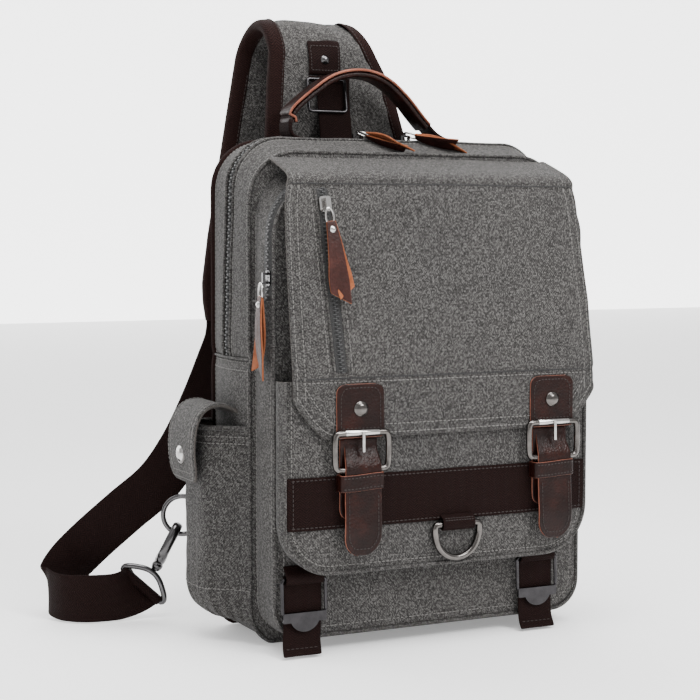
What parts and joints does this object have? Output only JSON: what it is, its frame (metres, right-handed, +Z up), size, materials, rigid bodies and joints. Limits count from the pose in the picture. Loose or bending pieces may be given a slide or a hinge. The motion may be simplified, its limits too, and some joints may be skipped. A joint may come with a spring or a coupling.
{
  "type": "sling bag",
  "caption": "Upright canvas sling bag with a buckled front flap, zipped compartments, side pocket, top handle and a padded strap clipped to a ring.",
  "frame": {"origin": "middle of the base, on the floor, between the back panel and the front", "axes": "+Z up, -Y the front with the flap, +X the wearer's left side of the front view (right in the picture)"},
  "size_m": [0.3778, 0.2311, 0.4681],
  "materials": {
    "canvas": "heathered canvas twill",
    "lining": "plain lining",
    "foam": "closed-cell foam",
    "board": "stiffener board",
    "zip": "black zip tape and coil",
    "webbing": "dark brown herringbone webbing",
    "leather": "reddish dark brown leather, pale cut edges",
    "pull_leather": "brown leather with tan suede back",
    "dark_nickel": "gunmetal plate",
    "bright_nickel": "nickel plate"
  },
  "bodies": {
    "bag": {"back_panel": "canvas", "back_foam": "foam", "base_board": "board", "divider_panel": "lining", "main_gusset": "canvas", "rear_zip_strip": "canvas", "front_zip_strip": "canvas", "main_zip_tape": "zip", "front_gusset": "canvas", "front_zip_tape": "zip", "front_panel": "canvas", "pocket_gusset": "canvas", "pocket_panel": "canvas", "webbing_band": "webbing", "snap_sockets": "dark_nickel", "ring_loop": "webbing", "side_pocket": "canvas", "anchor_webbings": "webbing", "tail_webbings": "webbing", "handle_anchors": "webbing", "strap_pad": "canvas", "pad_binding": "webbing", "pad_patch": "webbing", "lifter_webbing": "webbing", "strap_webbing": "webbing", "hook_eye": "dark_nickel", "ring_tab": "webbing"},
    "flap": {"flap_panel": "canvas", "flap_zip_tape": "zip", "buckle_tabs": "leather", "tab_rivets": "bright_nickel"},
    "flap_zip_slider": {"flap_zip_slider": "dark_nickel"},
    "flap_zip_pull": {"flap_zip_pull": "pull_leather"},
    "main_zip_left_slider": {"main_zip_left_slider": "dark_nickel"},
    "main_zip_left_pull": {"main_zip_left_pull": "pull_leather"},
    "main_zip_right_slider": {"main_zip_right_slider": "dark_nickel"},
    "main_zip_right_pull": {"main_zip_right_pull": "pull_leather"},
    "side_zip_slider": {"side_zip_slider": "dark_nickel"},
    "side_zip_pull": {"side_zip_pull": "pull_leather"},
    "front_ring": {"front_ring": "dark_nickel"},
    "side_pocket_flap": {"side_pocket_flap": "canvas", "side_pocket_snap": "bright_nickel"},
    "left_ladder_lock": {"left_ladder_lock": "dark_nickel"},
    "right_ladder_lock": {"right_ladder_lock": "dark_nickel"},
    "lifter_lock": {"lifter_lock": "dark_nickel"},
    "handle": {"handle_grip": "leather"},
    "strap_ring": {"strap_ring": "dark_nickel"},
    "hook": {"hook": "dark_nickel"},
    "hook_gate": {"hook_gate": "dark_nickel"},
    "left_buckle": {"left_buckle_frame": "bright_nickel", "left_buckle_tongue": "bright_nickel", "left_buckle_strap": "leather", "left_keeper": "leather", "left_closure_magnet": "dark_nickel"},
    "right_buckle": {"right_buckle_frame": "bright_nickel", "right_buckle_tongue": "bright_nickel", "right_buckle_strap": "leather", "right_keeper": "leather", "right_closure_magnet": "dark_nickel"}
  },
  "joints": [
    {"name": "flap_hinge", "type": "hinge", "parent": "bag", "child": "flap", "pos_m": [0, -0.0155, 0.354], "axis": [-1, 0, 0], "range_deg": [0, 95]},
    {"name": "flap_zip_travel", "type": "slide", "parent": "flap", "child": "flap_zip_slider", "axis": [0.0674, -0.0993, -0.9928], "range_m": [0, 0.1]},
    {"name": "flap_pull_swing", "type": "hinge", "parent": "flap_zip_slider", "child": "flap_zip_pull", "pos_m": [-0.093, -0.06545, 0.31893], "axis": [-1, 0, 0], "range_deg": [0, 120]},
    {"name": "main_left_travel", "type": "slide", "parent": "bag", "child": "main_zip_left_slider", "axis": [-1, 0, 0], "range_m": [0, 0.04]},
    {"name": "main_left_pull_lift", "type": "hinge", "parent": "main_zip_left_slider", "child": "main_zip_left_pull", "pos_m": [-0.027, 0.024, 0.3784], "axis": [-0.866, -0.5, 0], "range_deg": [0, 70]},
    {"name": "main_right_travel", "type": "slide", "parent": "bag", "child": "main_zip_right_slider", "axis": [1, 0, 0], "range_m": [0, 0.065]},
    {"name": "main_right_pull_lift", "type": "hinge", "parent": "main_zip_right_slider", "child": "main_zip_right_pull", "pos_m": [0.014, 0.024, 0.3784], "axis": [-0.682, -0.7314, 0], "range_deg": [0, 70]},
    {"name": "side_zip_travel", "type": "slide", "parent": "bag", "child": "side_zip_slider", "axis": [0, 0, 1], "range_m": [-0.01, 0.028]},
    {"name": "side_pull_swing", "type": "hinge", "parent": "side_zip_slider", "child": "side_zip_pull", "pos_m": [-0.1353, -0.0415, 0.266], "axis": [0, 1, 0], "range_deg": [0, 90]},
    {"name": "front_ring_swing", "type": "hinge", "parent": "bag", "child": "front_ring", "pos_m": [0.009, -0.0692, 0.089], "axis": [-1, 0, 0], "range_deg": [0, 110]},
    {"name": "side_pocket_flap_hinge", "type": "hinge", "parent": "bag", "child": "side_pocket_flap", "pos_m": [-0.133, 0.0315, 0.171], "axis": [0, 1, 0], "range_deg": [0, 85]},
    {"name": "left_lock_tilt", "type": "hinge", "parent": "bag", "child": "left_ladder_lock", "pos_m": [-0.1075, -0.0526, 0.0555], "axis": [-1, 0, 0], "range_deg": [0, 40]},
    {"name": "right_lock_tilt", "type": "hinge", "parent": "bag", "child": "right_ladder_lock", "pos_m": [0.088, -0.0526, 0.0555], "axis": [-1, 0, 0], "range_deg": [0, 40]},
    {"name": "lifter_lock_tilt", "type": "hinge", "parent": "bag", "child": "lifter_lock", "pos_m": [-0.038, 0.0574, 0.421], "axis": [-1, 0, 0], "range_deg": [0, 14]},
    {"name": "handle_tilt", "type": "hinge", "parent": "bag", "child": "handle", "pos_m": [-0.018, 0.04, 0.38], "axis": [1, 0, 0], "range_deg": [-3, 25]},
    {"name": "strap_ring_swing", "type": "hinge", "parent": "bag", "child": "strap_ring", "pos_m": [-0.1315, 0.09074, 0.076], "axis": [0.3058, -0.149, 0.9404], "range_deg": [-6, 6]},
    {"name": "hook_swivel", "type": "hinge", "parent": "bag", "child": "hook", "pos_m": [-0.165, 0.107, 0.035], "axis": [0.414, -0.2, 0.888], "range_deg": [-12, 12]},
    {"name": "hook_gate_swing", "type": "hinge", "parent": "hook", "child": "hook_gate", "pos_m": [-0.15457, 0.10996, 0.05062], "axis": [-0.7989, 0.3878, 0.4598], "range_deg": [0, 20], "stiffness_Nm_per_rad": 0.02},
    {"name": "left_buckle_swing", "type": "hinge", "parent": "flap", "child": "left_buckle", "pos_m": [-0.0705, -0.0718, 0.1605], "axis": [-1, 0, 0], "range_deg": [0, 80]},
    {"name": "right_buckle_swing", "type": "hinge", "parent": "flap", "child": "right_buckle", "pos_m": [0.09, -0.0718, 0.1605], "axis": [-1, 0, 0], "range_deg": [0, 80]}
  ]
}
